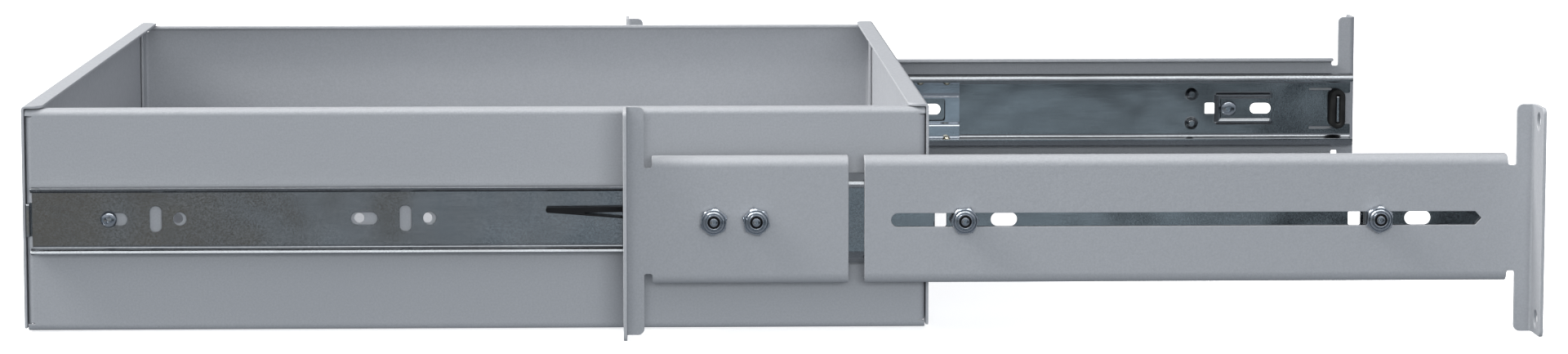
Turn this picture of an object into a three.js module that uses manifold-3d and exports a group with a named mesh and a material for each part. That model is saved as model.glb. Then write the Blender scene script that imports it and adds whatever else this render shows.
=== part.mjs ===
// A two-unit drawer for a 19-inch rack, drawn open on its pair of ball-bearing slides.
//
// Millimetres, +Z up. The pieces are laid out in rack coordinates: x = 0 at the front face of the front
// ears and x grows towards the back of the rack, y = 0 midway between the slides, z = 0 at the foot of the
// ears. The drawer opens towards -X. Everything beside the drawer is drawn for the right-hand side (-Y);
// the left-hand side is the same set of pieces turned over about the slides' mid-height.

import * as THREE from 'three';
import { mergeVertices } from 'three/addons/utils/BufferGeometryUtils.js';
import Module from 'manifold-3d';

const wasm = await Module();
wasm.setup();

// ---- driving dimensions -------------------------------------------------------------------------------

const EAR_HEIGHT = 88.1;            // two rack units less clearance
const EAR_OVERALL = 482.6;          // 19 inches across the ears
const RACK_HOLE_SPACING = 465.1;    // across the rack, hole to hole
const RACK_HOLE_RISE = 76.2;        // up one ear, hole to hole
const RACK_HOLE_RADIUS = 3.5;

const MID_HEIGHT = EAR_HEIGHT / 2;  // the slides' and brackets' centre line
const GAP = 0.3;                    // between touching pieces

const DRAWER_WIDTH = 418.6;
const DRAWER_FRONT = -231.2;        // front face of the front panel, drawn open
const DRAWER_REAR = 118.2;          // rear face of the rear panel
const DRAWER_BOTTOM = 0.6;
const DRAWER_TOP = 87.7;
const DRAWER_SHEET = 1.1;

const SLIDE_LENGTH = 350;
const SLIDE_SHEET = 1.2;
const SLIDE_BACK = DRAWER_WIDTH / 2 + GAP;     // |y| of the inner member's back
const SLIDE_THICKNESS = 12.2;
const INNER_FRONT = -229.5;
const INNER_REAR = 120.2;
const HOLE_STEPS = [-195.9, -99.9, 60.1];      // the inner member's hole groups, 96 and 160 apart

const BRACKET_SHEET = 1.4;
const BRACKET_OUTER = SLIDE_BACK + SLIDE_THICKNESS + GAP + BRACKET_SHEET;
const BRACKET_HEIGHT = 49;
const BRACKET_LIP = 8;
const EAR_STRIP = 8;                // width of the tall strip that carries an ear
const NOTCH = 3;
const FRONT_BRACKET_END = 86.5;
const REAR_BRACKET_START = 92.6;
const REAR_EAR = 352;               // rear face of the rear ears
const ADJUSTING_SLOT = [102.9, 330.9];
const BOLT_PLACES = [34.6, 50.9, 131, 291];
const STATIONS = [34.6, 131, 291];  // the outer member's hole groups
const BOLT_RADIUS = 2.35;
const BOLT_HOLE_RADIUS = 2.65;

const BALL_RADIUS = 2;
const BALL_PITCH = 12.7;
const BALLS_IN_ROW = 12;
const CAGE = [8, 160.5];            // the cage's ends with the drawer drawn open
const CAGE_STOP = 272.9;            // middle of the pressed stops that the closed cage meets
const END_TAB = 342.6;              // the bent-up tab that carries the rubber bumper
const LEVER_PIVOT = [16, MID_HEIGHT + 0.8];    // with the drawer drawn open

const CENTRE_X = (DRAWER_FRONT + REAR_EAR) / 2;

// ---- outlines and solids ------------------------------------------------------------------------------

const X_AXIS = new THREE.Vector3(1, 0, 0);
const Y_AXIS = new THREE.Vector3(0, 1, 0);
const Z_AXIS = new THREE.Vector3(0, 0, 1);

function arc(cx, cy, radius, fromDeg, toDeg, steps) {
  const points = [];
  for (let i = 0; i <= steps; i += 1) {
    const a = THREE.MathUtils.degToRad(fromDeg + (toDeg - fromDeg) * i / steps);
    points.push([cx + radius * Math.cos(a), cy + radius * Math.sin(a)]);
  }
  return points;
}

function circle(cx, cy, radius, sides) {
  return arc(cx, cy, radius, 0, 360 - 360 / sides, sides - 1);
}

// A rectangle with rounded corners; with the radius at half its height it is a slot.
function roundedBox(u0, u1, v0, v1, radius, steps = 3) {
  return [
    ...arc(u1 - radius, v1 - radius, radius, 0, 90, steps),
    ...arc(u0 + radius, v1 - radius, radius, 90, 180, steps),
    ...arc(u0 + radius, v0 + radius, radius, 180, 270, steps),
    ...arc(u1 - radius, v0 + radius, radius, 270, 360, steps),
  ];
}

function slot(centre, length, height) {
  return roundedBox(centre - length / 2, centre + length / 2,
    MID_HEIGHT - height / 2, MID_HEIGHT + height / 2, height / 2 - 0.01);
}

// The outline of a folded sheet, from the line down the middle of its thickness.
function foldedSheet(line, thickness) {
  const half = thickness / 2;
  const near = [];
  const far = [];
  line.forEach(([u, v], i) => {
    const before = line[Math.max(i - 1, 0)];
    const after = line[Math.min(i + 1, line.length - 1)];
    const into = new THREE.Vector2(u - before[0], v - before[1]).normalize();
    const out = new THREE.Vector2(after[0] - u, after[1] - v).normalize();
    const along = into.clone().add(out).normalize();
    const normal = new THREE.Vector2(-along.y, along.x);
    const cosine = (into.lengthSq() ? into : out).dot(along);
    const reach = half / cosine;
    near.push([u + normal.x * reach, v + normal.y * reach]);
    far.unshift([u - normal.x * reach, v - normal.y * reach]);
  });
  return [...near, ...far];
}

function extrude(points, depth) {
  const shape = new THREE.Shape(points.map(([u, v]) => new THREE.Vector2(u, v)));
  return new THREE.ExtrudeGeometry(shape, { depth, bevelEnabled: false, steps: 1 });
}

// points are [y, z]
function alongX(points, from, to) {
  const turn = new THREE.Matrix4().makeBasis(Y_AXIS, Z_AXIS, X_AXIS);
  return extrude(points, to - from).applyMatrix4(turn).translate(from, 0, 0);
}

// points are [x, z]
function alongY(points, from, to) {
  const turn = new THREE.Matrix4().makeBasis(X_AXIS, Z_AXIS, Y_AXIS.clone().negate());
  return extrude(points, to - from).applyMatrix4(turn).translate(0, to, 0);
}

// points are [x, y]
function alongZ(points, from, to) {
  return extrude(points, to - from).translate(0, 0, from);
}

function block(x0, x1, y0, y1, z0, z1) {
  const geometry = new THREE.BoxGeometry(x1 - x0, y1 - y0, z1 - z0);
  return geometry.translate((x0 + x1) / 2, (y0 + y1) / 2, (z0 + z1) / 2);
}

// A turned piece on an axis along Y; the profile is [radius, y] from end to end, both on the axis.
function turned(profile, x, z, sides) {
  const ordered = profile[0][1] < profile.at(-1)[1] ? profile : [...profile].reverse();
  const points = ordered.map(([radius, y]) => new THREE.Vector2(radius, y));
  return new THREE.LatheGeometry(points, sides).translate(x, 0, z);
}

function solidOf(geometry) {
  const bare = geometry.clone();
  bare.deleteAttribute('normal');
  bare.deleteAttribute('uv');
  const merged = mergeVertices(bare, 1e-4);
  const index = merged.index.array;
  const triVerts = [];
  for (let i = 0; i < index.length; i += 3) {
    const [a, b, c] = [index[i], index[i + 1], index[i + 2]];
    if (a !== b && b !== c && c !== a) {
      triVerts.push(a, b, c);
    }
  }
  return new wasm.Manifold(new wasm.Mesh({
    numProp: 3,
    vertProperties: new Float32Array(merged.attributes.position.array),
    triVerts: new Uint32Array(triVerts),
  }));
}

function joined(geometries) {
  return geometries.map(solidOf).reduce((whole, piece) => whole.add(piece));
}

function cutBy(solid, tools) {
  return tools.length ? solid.subtract(joined(tools)) : solid;
}

function meshOf(name, solid, finish) {
  const { vertProperties, triVerts } = solid.getMesh();
  const geometry = new THREE.BufferGeometry();
  geometry.setAttribute('position', new THREE.BufferAttribute(new Float32Array(vertProperties), 3));
  geometry.setIndex(new THREE.BufferAttribute(new Uint32Array(triVerts), 1));
  geometry.computeVertexNormals();
  const mesh = new THREE.Mesh(geometry, new THREE.MeshStandardMaterial({ ...finish, name }));
  mesh.name = name;
  return mesh;
}

const POWDER_COAT = { color: 0x93969e, roughness: 0.6, metalness: 0.1 };
const ZINC = { color: 0x7d848a, roughness: 0.35, metalness: 0.9 };
const BRIGHT_ZINC = { color: 0xb4bac0, roughness: 0.25, metalness: 1 };
const BLACK_PLASTIC = { color: 0x141416, roughness: 0.4, metalness: 0 };
const RUBBER = { color: 0x0e0e0f, roughness: 0.85, metalness: 0 };

// ---- the drawer ---------------------------------------------------------------------------------------

const SIDE_FLANGE = 7;
const FLANGE_TOP = DRAWER_TOP - DRAWER_SHEET - GAP;   // the panels' flanges lie on the sides' flanges
const BEND = 2;                                       // middle-of-sheet radius of the drawer's folds
const END_RETURN = 12;

// Bottom, sides and top flanges are one channel; each side also turns in at both ends.
function drawerTray() {
  const half = DRAWER_WIDTH / 2 - DRAWER_SHEET / 2;
  const floor = DRAWER_BOTTOM + DRAWER_SHEET / 2;
  const top = FLANGE_TOP - DRAWER_SHEET / 2;
  const rightHalf = [
    ...arc(-half + BEND, floor + BEND, BEND, 270, 180, 3),
    ...arc(-half + BEND, top - BEND, BEND, 180, 90, 4),
    [-half + DRAWER_SHEET / 2 + SIDE_FLANGE, top],
  ];
  const leftHalf = rightHalf.map(([y, z]) => [-y, z]).reverse();
  const front = DRAWER_FRONT + DRAWER_SHEET + GAP;
  const rear = DRAWER_REAR - DRAWER_SHEET - GAP;
  const shellFront = front + BEND + DRAWER_SHEET / 2;
  const shellRear = rear - BEND - DRAWER_SHEET / 2;
  const channel = alongX(foldedSheet([...leftHalf, ...rightHalf], DRAWER_SHEET), shellFront, shellRear);

  const low = floor + BEND + DRAWER_SHEET;
  const high = top - BEND - DRAWER_SHEET;
  const ends = [[front + DRAWER_SHEET / 2, 1], [rear - DRAWER_SHEET / 2, -1]].flatMap(([x, inward]) => {
    const turnIn = [
      [x, half - END_RETURN],
      ...arc(x + inward * BEND, half - BEND, BEND, inward > 0 ? 180 : 0, 90, 3),
      [x + inward * (BEND + 1), half],
    ];
    const mirrored = turnIn.map(([u, y]) => [u, -y]);
    return [turnIn, mirrored].map((line) => alongZ(foldedSheet(line, DRAWER_SHEET), low, high));
  });
  const bottomEnds = [
    block(front, shellFront + 1, -half + BEND, half - BEND, DRAWER_BOTTOM, DRAWER_BOTTOM + DRAWER_SHEET),
    block(shellRear - 1, rear, -half + BEND, half - BEND, DRAWER_BOTTOM, DRAWER_BOTTOM + DRAWER_SHEET),
  ];
  const holePlaces = HOLE_STEPS.flatMap((step) => [step - 2, step + 24.2]);
  const screwHoles = [-1, 1].flatMap((side) => {
    const face = side * DRAWER_WIDTH / 2;
    return holePlaces.map((x) => alongY(circle(x, MID_HEIGHT, 1.9, 8), face - 4, face + 4));
  });
  return meshOf('drawer_tray', cutBy(joined([channel, ...ends, ...bottomEnds]), screwHoles), POWDER_COAT);
}

// A panel is a flat sheet with its top edge turned over the tray.
function drawerPanel(name, outerFace, inward, foot) {
  const middle = outerFace + inward * DRAWER_SHEET / 2;
  const top = DRAWER_TOP - DRAWER_SHEET / 2;
  const radius = DRAWER_SHEET;
  const flangeEnd = outerFace + inward * 8;
  const line = [
    [middle, foot],
    ...arc(middle + inward * radius, top - radius, radius, inward > 0 ? 180 : 0, 90, 3),
    [flangeEnd, top],
  ];
  const sheet = solidOf(alongY(foldedSheet(line, DRAWER_SHEET), -DRAWER_WIDTH / 2, DRAWER_WIDTH / 2));
  const corner = 5;
  const cornerCuts = [-1, 1].map((side) => {
    const y = side * DRAWER_WIDTH / 2;
    const [centreX, centreY] = [flangeEnd - inward * corner, y - side * corner];
    const points = [
      [flangeEnd + inward, y + side],
      [centreX, y + side],
      ...arc(centreX, centreY, corner, side * 90, inward > 0 ? 0 : side * 180, 3),
      [flangeEnd + inward, centreY],
    ];
    return alongZ(points, DRAWER_TOP - 1.5 * DRAWER_SHEET, DRAWER_TOP + 1);
  });
  return meshOf(name, cutBy(sheet, cornerCuts), POWDER_COAT);
}

// ---- slide sections -----------------------------------------------------------------------------------

// Sections are drawn as [depth, rise]: depth from the inner member's back towards the rack, rise above
// mid-height. This turns them into [y, z] for the right-hand slide.
function inRack(points) {
  return points.map(([depth, rise]) => [-(SLIDE_BACK + depth), MID_HEIGHT + rise]);
}

function bothHalves(upper) {
  const lower = upper.map(([depth, rise]) => [depth, -rise]).reverse();
  return [...lower, ...upper];
}

function depthToY(depth) {
  return -(SLIDE_BACK + depth);
}

const BALL_DEPTH = 5;
const BALL_RISE = 14.15;
const WEB_DEPTH = SLIDE_THICKNESS - SLIDE_SHEET / 2;    // middle of the outer member's web

function outerSection() {
  const upper = [
    ...arc(WEB_DEPTH - 3, 12, 3, 0, 70, 3),
    ...arc(BALL_DEPTH, 14, 2.9, 25, 185, 8),
  ];
  return inRack(foldedSheet(bothHalves(upper), SLIDE_SHEET));
}

function innerSection() {
  const upper = [
    [0.6, 9.4],
    [0.95, 10.7],
    [1.9, 11.6],
    ...arc(BALL_DEPTH, BALL_RISE, 2.9, 235, 305, 4),
    [7.3, 12.2],
  ];
  return inRack(foldedSheet(bothHalves(upper), SLIDE_SHEET));
}

function cageSection() {
  const upper = [[8.6, 12.3], [8.1, 13.5], [7.2, BALL_RISE], [3.2, BALL_RISE]];
  return inRack(foldedSheet(bothHalves(upper), 0.7));
}

// ---- the inner member, its lever and its screws ---------------------------------------------------------

const TAB_HALF = 6.5;

function innerMember(name) {
  const rise = [MID_HEIGHT - TAB_HALF, MID_HEIGHT + TAB_HALF];
  const shell = joined([
    alongX(innerSection(), INNER_FRONT + 1, INNER_REAR),
    block(INNER_FRONT - SLIDE_SHEET, INNER_FRONT + 2, depthToY(SLIDE_SHEET), depthToY(0), ...rise),
    block(INNER_FRONT - SLIDE_SHEET, INNER_FRONT, depthToY(5.6), depthToY(0), ...rise),
    block(INNER_REAR - SLIDE_SHEET, INNER_REAR, depthToY(6.4), depthToY(0), ...rise),
  ]);
  const [low, high] = [depthToY(2), depthToY(-1)];
  const holes = HOLE_STEPS.flatMap((step) => [
    alongY(slot(step, 10.2, 4.8), low, high),
    alongY(roundedBox(step + 13.6, step + 18.2, MID_HEIGHT - 4.9, MID_HEIGHT + 4.9, 2), low, high),
    alongY(circle(step + 25.2, MID_HEIGHT, 2.5, 12), low, high),
  ]);
  holes.push(alongY(circle(LEVER_PIVOT[0], LEVER_PIVOT[1], 1.8, 10), low, high));
  return meshOf(name, cutBy(shell, holes), ZINC);
}

// A wedge with a rounded tip, widening back to a boss around its rivet and a short latch behind it.
function disconnectLever(name) {
  const tip = [-28.6, MID_HEIGHT + 3];
  const outline = [
    ...arc(tip[0], tip[1], 1.15, 90, 270, 5),
    [-0.7, MID_HEIGHT - 0.45],
    ...arc(LEVER_PIVOT[0], LEVER_PIVOT[1], 4.6, 235, 300, 3),
    [30, MID_HEIGHT - 1.2],
    [30, MID_HEIGHT + 5.2],
    [25.5, MID_HEIGHT + 5.2],
    ...arc(LEVER_PIVOT[0], LEVER_PIVOT[1], 4.6, 60, 95, 2),
    [-0.7, MID_HEIGHT + 4.4],
  ];
  const pocket = [
    [-17, MID_HEIGHT + 1.75],
    [-1, MID_HEIGHT + 0.35],
    [8, MID_HEIGHT - 0.5],
    [8, MID_HEIGHT + 1.7],
    [-1, MID_HEIGHT + 2.1],
  ];
  const arm = solidOf(alongY(outline, depthToY(4.6), depthToY(1.6)));
  const cuts = [
    alongY(pocket, depthToY(5), depthToY(3)),
    alongY(circle(LEVER_PIVOT[0], LEVER_PIVOT[1], 1.8, 10), depthToY(5), depthToY(1)),
  ];
  return meshOf(name, cutBy(arm, cuts), BLACK_PLASTIC);
}

function leverRivet(name) {
  const profile = [
    [0, depthToY(0)],
    [1.4, depthToY(0)],
    [1.4, depthToY(4.9)],
    [3.1, depthToY(4.9)],
    [2.6, depthToY(5.8)],
    [0, depthToY(6.1)],
  ];
  return meshOf(name, solidOf(turned(profile, LEVER_PIVOT[0], LEVER_PIVOT[1], 12)), BRIGHT_ZINC);
}

function crossRecess(x, outerY, innerY) {
  const [low, high] = [Math.min(outerY, innerY), Math.max(outerY, innerY)];
  const [reach, half] = [1.5, 0.42];
  return [
    block(x - reach, x + reach, low, high, MID_HEIGHT - half, MID_HEIGHT + half),
    block(x - half, x + half, low, high, MID_HEIGHT - reach, MID_HEIGHT + reach),
  ];
}

const DRAWER_SCREW_END = -6;        // depth of the screw's tip inside the drawer

function drawerScrew(name, x) {
  const seat = depthToY(SLIDE_SHEET + GAP);
  const profile = [
    [0, depthToY(DRAWER_SCREW_END)],
    [1.5, depthToY(DRAWER_SCREW_END)],
    [1.5, seat],
    [3.25, seat],
    [3.25, seat - 0.8],
    [2.6, seat - 1.6],
    [1.4, seat - 2],
    [0, seat - 2.1],
  ];
  const recess = crossRecess(x, seat - 2.5, seat - 1);
  return meshOf(name, cutBy(solidOf(turned(profile, x, MID_HEIGHT, 12)), recess), BRIGHT_ZINC);
}

function drawerNut(name, x) {
  const face = depthToY(-GAP - DRAWER_SHEET - GAP);
  const hex = solidOf(alongY(circle(x, MID_HEIGHT, 3.4, 6), face, face + 2.6));
  const bore = alongY(circle(x, MID_HEIGHT, 1.75, 10), face - 1, face + 4);
  return meshOf(name, cutBy(hex, [bore]), BRIGHT_ZINC);
}

// ---- the outer member, the cage and the bumper ----------------------------------------------------------

function outerMember(name) {
  const webIn = SLIDE_THICKNESS - SLIDE_SHEET;
  const tabEnds = [MID_HEIGHT - TAB_HALF, MID_HEIGHT + TAB_HALF];
  const rib = [
    [[-6.7, -7.5], [20.5, -5.2]],
    [[-6.7, 5.2], [20.5, 7.5]],
    [[-6.7, -7.5], [-4.4, 7.5]],
  ].map(([[x0, z0], [x1, z1]]) => block(STATIONS[2] + x0, STATIONS[2] + x1,
    depthToY(webIn + 0.4), depthToY(webIn - 0.7), MID_HEIGHT + z0, MID_HEIGHT + z1));
  const cageStops = [-7, 7].map((rise) => turned([
    [0, depthToY(webIn + 0.4)],
    [3.1, depthToY(webIn + 0.4)],
    [3.1, depthToY(webIn - 0.6)],
    [2.1, depthToY(webIn - 2.4)],
    [0, depthToY(webIn - 2.9)],
  ], CAGE_STOP, MID_HEIGHT + rise, 12));
  const body = joined([
    alongX(outerSection(), 0, SLIDE_LENGTH),
    block(END_TAB, END_TAB + SLIDE_SHEET, depthToY(webIn + 0.4), depthToY(4), ...tabEnds),
    ...rib,
    ...cageStops,
  ]);
  const [low, high] = [depthToY(SLIDE_THICKNESS + 1), depthToY(webIn - 2)];
  const holes = STATIONS.flatMap((x) => [
    alongY(roundedBox(x - 11.6, x - 6.8, MID_HEIGHT - 2.8, MID_HEIGHT + 2.8, 0.8, 2), low, high),
    alongY(slot(x + 15.4, 10.2, 5.3), low, high),
    alongY(circle(x, MID_HEIGHT, BOLT_HOLE_RADIUS, 12), low, high),
  ]);
  const endSlits = [-1, 1].map((side) => {
    const rise = [12.6, 13.5].map((value) => MID_HEIGHT + side * value).sort((a, b) => a - b);
    return block(338.6, 345, low, depthToY(9.5), ...rise);
  });
  return meshOf(name, cutBy(body, [...holes, ...endSlits]), ZINC);
}

// A thin channel between the two members: two rows of balls on its flanges, an open middle, and a
// cross-bar at each end.
function ballCage(name) {
  const [front, rear] = CAGE;
  const shell = solidOf(alongX(cageSection(), front, rear));
  const opening = block(front + 7, rear - 7, depthToY(9.5), depthToY(8), MID_HEIGHT - 6.2, MID_HEIGHT + 6.2);
  const balls = [];
  for (let i = 0; i < BALLS_IN_ROW; i += 1) {
    for (const rise of [-BALL_RISE, BALL_RISE]) {
      const ball = new THREE.SphereGeometry(BALL_RADIUS, 6, 4);
      balls.push(ball.translate(rear - 6.5 - i * BALL_PITCH, depthToY(BALL_DEPTH), MID_HEIGHT + rise));
    }
  }
  return meshOf(name, cutBy(shell, [opening]).add(joined(balls)), ZINC);
}

function rubberBumper(name) {
  const middle = END_TAB + SLIDE_SHEET / 2;
  const ring = alongY(roundedBox(middle - 3.7, middle + 3.7, MID_HEIGHT - 9.5, MID_HEIGHT + 9.5, 3.6),
    depthToY(10.6), depthToY(4.6));
  const hole = alongY(roundedBox(middle - 0.95, middle + 0.95, MID_HEIGHT - 6.85, MID_HEIGHT + 6.85, 0.5, 1),
    depthToY(11), depthToY(4));
  return meshOf(name, cutBy(solidOf(ring), [hole]), RUBBER);
}

// ---- the brackets and their fasteners -------------------------------------------------------------------

const LIP_BEND = 3.3;               // middle-of-sheet radius of the brackets' long folds
const EAR_BEND = 1.7;
const EAR_CORNER = 2.5;

// A bracket from its ear at earX to its plain end. Inward is +1 when the body runs towards +X.
function bracket(name, earX, inward, plainEnd, cuts) {
  const middleY = -BRACKET_OUTER + BRACKET_SHEET / 2;
  const half = BRACKET_HEIGHT / 2 - BRACKET_SHEET / 2;
  const section = [
    [middleY + BRACKET_LIP - BRACKET_SHEET / 2, MID_HEIGHT - half],
    ...arc(middleY + LIP_BEND, MID_HEIGHT - half + LIP_BEND, LIP_BEND, 270, 180, 5),
    ...arc(middleY + LIP_BEND, MID_HEIGHT + half - LIP_BEND, LIP_BEND, 180, 90, 5),
    [middleY + BRACKET_LIP - BRACKET_SHEET / 2, MID_HEIGHT + half],
  ];
  const stripEdge = earX + inward * EAR_STRIP;
  const bodyStart = stripEdge + inward * NOTCH;
  const span = [bodyStart, plainEnd].sort((a, b) => a - b);
  const neck = [stripEdge - inward, bodyStart + inward * 2].sort((a, b) => a - b);

  const earMiddle = earX + inward * BRACKET_SHEET / 2;
  const earLine = [
    [earMiddle, -EAR_OVERALL / 2],
    ...arc(earMiddle + inward * EAR_BEND, middleY - EAR_BEND, EAR_BEND, inward > 0 ? 180 : 0, 90, 3),
    [stripEdge, middleY],
  ];
  const stripShape = alongY(roundedStrip(earX, stripEdge), -EAR_OVERALL / 2 - 1, -BRACKET_OUTER + 3);
  const earShape = alongX(roundedBox(-EAR_OVERALL / 2, -BRACKET_OUTER + 6, 0, EAR_HEIGHT, EAR_CORNER),
    Math.min(earX, stripEdge) - 1, Math.max(earX, stripEdge) + 1);
  const ear = solidOf(alongZ(foldedSheet(earLine, BRACKET_SHEET), 0, EAR_HEIGHT))
    .intersect(solidOf(stripShape))
    .intersect(solidOf(earShape));

  const whole = joined([
    alongX(foldedSheet(section, BRACKET_SHEET), ...span),
    block(...neck, -BRACKET_OUTER, -BRACKET_OUTER + BRACKET_SHEET,
      MID_HEIGHT - BRACKET_HEIGHT / 2 + NOTCH + 1, MID_HEIGHT + BRACKET_HEIGHT / 2 - NOTCH - 1),
  ]).add(ear);
  const rackHoles = [-1, 1].map((side) => alongX(
    circle(-RACK_HOLE_SPACING / 2, MID_HEIGHT + side * RACK_HOLE_RISE / 2, RACK_HOLE_RADIUS, 16),
    earX - 5, earX + 5));
  return meshOf(name, cutBy(whole, [...rackHoles, ...cuts]), POWDER_COAT);
}

// The tall strip's outline in the body's plane: square at the ear, rounded at its other two corners.
function roundedStrip(earX, stripEdge) {
  const inward = Math.sign(stripEdge - earX);
  const centre = stripEdge - inward * EAR_CORNER;
  const [from, to] = inward > 0 ? [0, 90] : [180, 90];
  return [
    ...arc(centre, EAR_HEIGHT - EAR_CORNER, EAR_CORNER, from, to, 3),
    [earX - inward, EAR_HEIGHT],
    [earX - inward, 0],
    ...arc(centre, EAR_CORNER, EAR_CORNER, -to, -from, 3),
  ];
}

function throughBracket(points) {
  return alongY(points, -BRACKET_OUTER - 2, -BRACKET_OUTER + BRACKET_SHEET + 2);
}

function frontBracket(name) {
  const places = BOLT_PLACES.slice(0, 2);
  const holes = places.map((x) => throughBracket(circle(x, MID_HEIGHT, BOLT_HOLE_RADIUS, 12)));
  return bracket(name, 0, 1, FRONT_BRACKET_END, holes);
}

// The long slot is round at its front end and ends in a blunt point at the rear.
function rearBracket(name) {
  const [start, end] = ADJUSTING_SLOT;
  const half = 2.65;
  const outline = [
    ...arc(start + half, MID_HEIGHT, half, 90, 270, 6),
    [end - 1.9, MID_HEIGHT - half],
    [end - 0.3, MID_HEIGHT - 1],
    [end, MID_HEIGHT],
    [end - 0.3, MID_HEIGHT + 1],
    [end - 1.9, MID_HEIGHT + half],
  ];
  return bracket(name, REAR_EAR, -1, REAR_BRACKET_START, [throughBracket(outline)]);
}

// A low-headed machine screw through slide and bracket, with its head inside the slide.
function bracketBolt(name, x) {
  const seat = depthToY(SLIDE_THICKNESS - SLIDE_SHEET - GAP);
  const end = -BRACKET_OUTER - 6.3;
  const profile = [
    [0, seat + 1.5],
    [2.2, seat + 1.4],
    [3.9, seat + 0.6],
    [3.9, seat],
    [BOLT_RADIUS, seat],
    [BOLT_RADIUS, end + 0.5],
    [BOLT_RADIUS - 0.4, end],
    [1.1, end],
    [0, end + 0.5],
  ];
  const recess = crossRecess(x, seat + 2, seat + 0.6);
  return meshOf(name, cutBy(solidOf(turned(profile, x, MID_HEIGHT, 10)), recess), BRIGHT_ZINC);
}

// A lock nut: a hexagon with a round collar; twist is its angle on the bolt.
function lockNut(name, x, twist) {
  const face = -BRACKET_OUTER - GAP;
  const hexagon = arc(x, MID_HEIGHT, 5.4, twist, twist + 300, 5);
  const collar = [
    [0, face - 4],
    [4.2, face - 4],
    [4.2, face - 5],
    [3.6, face - 5.8],
    [0, face - 5.8],
  ];
  const body = joined([alongY(hexagon, face - 4.3, face), turned(collar, x, MID_HEIGHT, 12)]);
  const bore = alongY(circle(x, MID_HEIGHT, 2.65, 10), face - 7, face + 1);
  return meshOf(name, cutBy(body, [bore]), BRIGHT_ZINC);
}

// ---- assembly -------------------------------------------------------------------------------------------

const NUT_TWISTS = [8, 47, 21, 35];
const DRAWER_SCREW_PLACES = [HOLE_STEPS[0] - 2, HOLE_STEPS[2] - 2];
const SCREW_ENDS = ['front', 'rear'];

function sideOf(side) {
  const group = new THREE.Group();
  group.add(outerMember(`outer_member_${side}`));
  group.add(rubberBumper(`rubber_bumper_${side}`));
  group.add(ballCage(`ball_cage_${side}`));
  group.add(innerMember(`inner_member_${side}`));
  group.add(disconnectLever(`disconnect_lever_${side}`));
  group.add(leverRivet(`lever_rivet_${side}`));
  group.add(frontBracket(`front_bracket_${side}`));
  group.add(rearBracket(`rear_bracket_${side}`));
  BOLT_PLACES.forEach((x, i) => {
    group.add(bracketBolt(`bracket_bolt_${side}_${i + 1}`, x));
    group.add(lockNut(`lock_nut_${side}_${i + 1}`, x, NUT_TWISTS[i]));
  });
  DRAWER_SCREW_PLACES.forEach((x, i) => {
    group.add(drawerScrew(`drawer_screw_${side}_${SCREW_ENDS[i]}`, x));
    group.add(drawerNut(`drawer_nut_${side}_${SCREW_ENDS[i]}`, x));
  });
  return group;
}

const drawer = new THREE.Group();
drawer.add(drawerTray());
drawer.add(drawerPanel('front_panel', DRAWER_FRONT, 1, DRAWER_BOTTOM + 0.9));
drawer.add(drawerPanel('rear_panel', DRAWER_REAR, -1, DRAWER_BOTTOM + 0.9));

const rightSide = sideOf('right');
const leftSide = sideOf('left');
leftSide.rotation.x = Math.PI;
leftSide.position.z = EAR_HEIGHT;

const rackDrawer = new THREE.Group();
rackDrawer.add(drawer, rightSide, leftSide);
rackDrawer.position.x = -CENTRE_X;

export default rackDrawer;
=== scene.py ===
# A two-unit drawer for a 19-inch rack, drawn open on its pair of ball-bearing slides.
# Sizes are in millimetres, in rack coordinates: x = 0 at the front face of the front ears, y = 0 midway
# between the slides and z = 0 at the foot of the ears. Meshes are scaled to metres as they are placed.
import math

import bmesh
import bpy
import numpy as np
from mathutils import Matrix, Vector


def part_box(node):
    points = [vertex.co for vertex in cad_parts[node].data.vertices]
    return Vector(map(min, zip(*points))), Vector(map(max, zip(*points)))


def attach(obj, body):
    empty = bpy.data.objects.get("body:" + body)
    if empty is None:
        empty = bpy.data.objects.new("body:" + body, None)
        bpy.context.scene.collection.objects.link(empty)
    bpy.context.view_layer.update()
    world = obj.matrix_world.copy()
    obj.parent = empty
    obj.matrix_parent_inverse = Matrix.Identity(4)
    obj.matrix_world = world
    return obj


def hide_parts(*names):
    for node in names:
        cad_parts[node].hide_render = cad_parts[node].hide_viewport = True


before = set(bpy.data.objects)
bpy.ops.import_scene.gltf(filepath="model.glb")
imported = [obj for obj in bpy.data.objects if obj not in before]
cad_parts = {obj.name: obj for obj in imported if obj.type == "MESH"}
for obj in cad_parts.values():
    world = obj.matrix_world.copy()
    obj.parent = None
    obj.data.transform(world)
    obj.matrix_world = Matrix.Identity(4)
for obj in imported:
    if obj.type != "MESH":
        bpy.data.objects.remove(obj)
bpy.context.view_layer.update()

# ---- Camera, light and floor ------------------------------------------------------------------------------
# The drawer is seen from the rack's right-hand side, from a little above, through a long lens. A softbox
# high on the left is the main light, a dim ceiling panel shows in bright metal, and a pale wall and a low
# card in front fill in. The floor is plain and pale, and the room is dim as the plated steel sees it.
MM = 0.001


def in_scene(name, data):
    """A new object in the scene that shows some data."""
    made = bpy.data.objects.new(name, data)
    bpy.context.scene.collection.objects.link(made)
    return made


camera_data = bpy.data.cameras.new("camera")
camera_data.sensor_width = 36
camera_data.lens = 103.3
camera = in_scene("camera", camera_data)
camera.location = (-0.0538, -1.9376, 0.2516)
camera.rotation_euler = (math.radians(90 - 6.345), 0, -0.0321)
bpy.context.scene.camera = camera
bpy.context.scene.view_settings.view_transform = "Standard"


def softbox(name, place, size, watts, tint, mirrored=True, lit=True):
    """A soft light that faces the middle of the drawer, shown in metal, lighting surfaces, or both."""
    light = bpy.data.lights.new(name, "AREA")
    light.shape = "RECTANGLE"
    light.size, light.size_y = size
    light.energy = watts
    light.color = tint
    lamp = in_scene(name, light)
    lamp.location = place
    lamp.rotation_euler = Vector(place).to_track_quat("Z", "Y").to_euler()
    lamp.visible_glossy, lamp.visible_diffuse = mirrored, lit


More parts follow.
